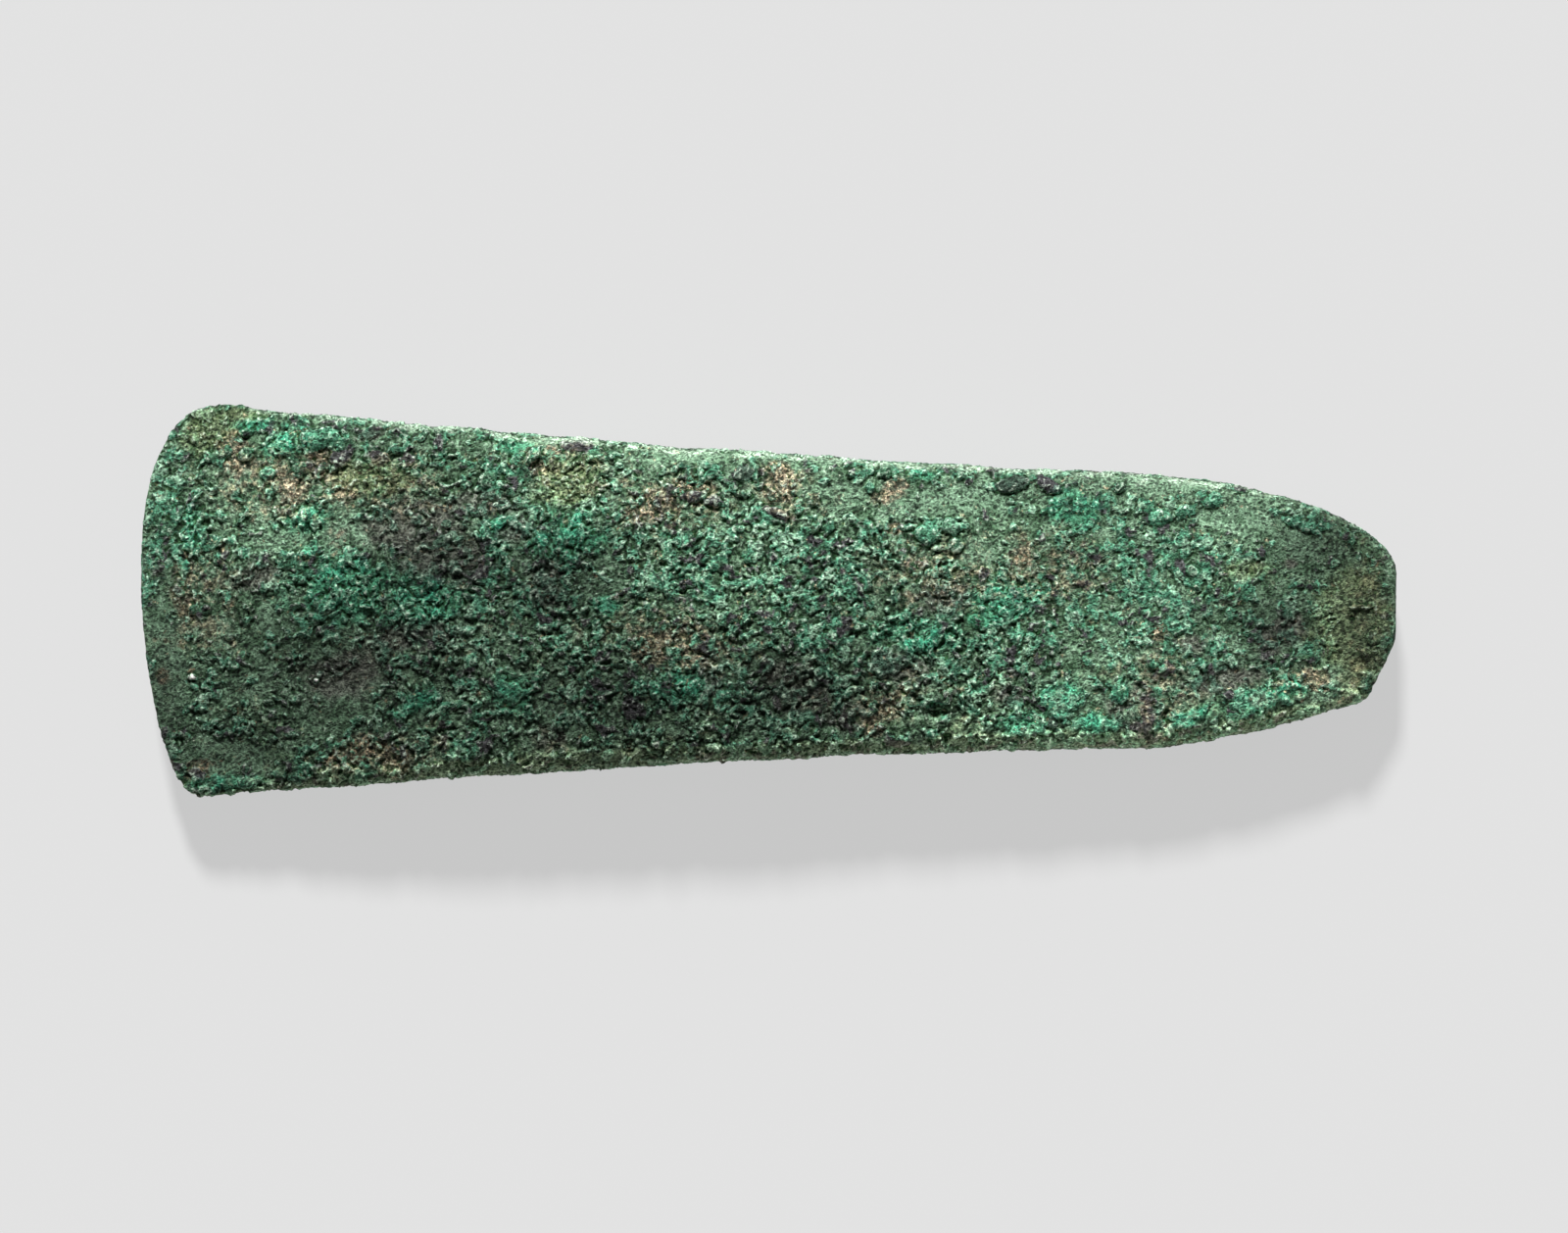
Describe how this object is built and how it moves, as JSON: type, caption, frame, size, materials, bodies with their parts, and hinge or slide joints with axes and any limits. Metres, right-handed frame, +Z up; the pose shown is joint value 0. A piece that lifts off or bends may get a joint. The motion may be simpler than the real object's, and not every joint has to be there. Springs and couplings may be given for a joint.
{
  "type": "flat axe head",
  "caption": "Flat bronze axe head with a curved cutting edge, flared sides and a rounded butt. It lies on its lower face, and its butt half fits a split haft.",
  "frame": {"origin": "middle of the bounding box in plan, on the surface that the head lies on", "axes": "+X from the cutting edge to the butt, +Y across the blade, +Z up out of the upper face"},
  "size_m": [0.15, 0.0467, 0.0106],
  "materials": {
    "corroded_bronze": "matt, rough green and charcoal corrosion crust with tan earth in its hollows"
  },
  "bodies": {
    "root": {"axe_head": "corroded_bronze"}
  },
  "joints": []
}
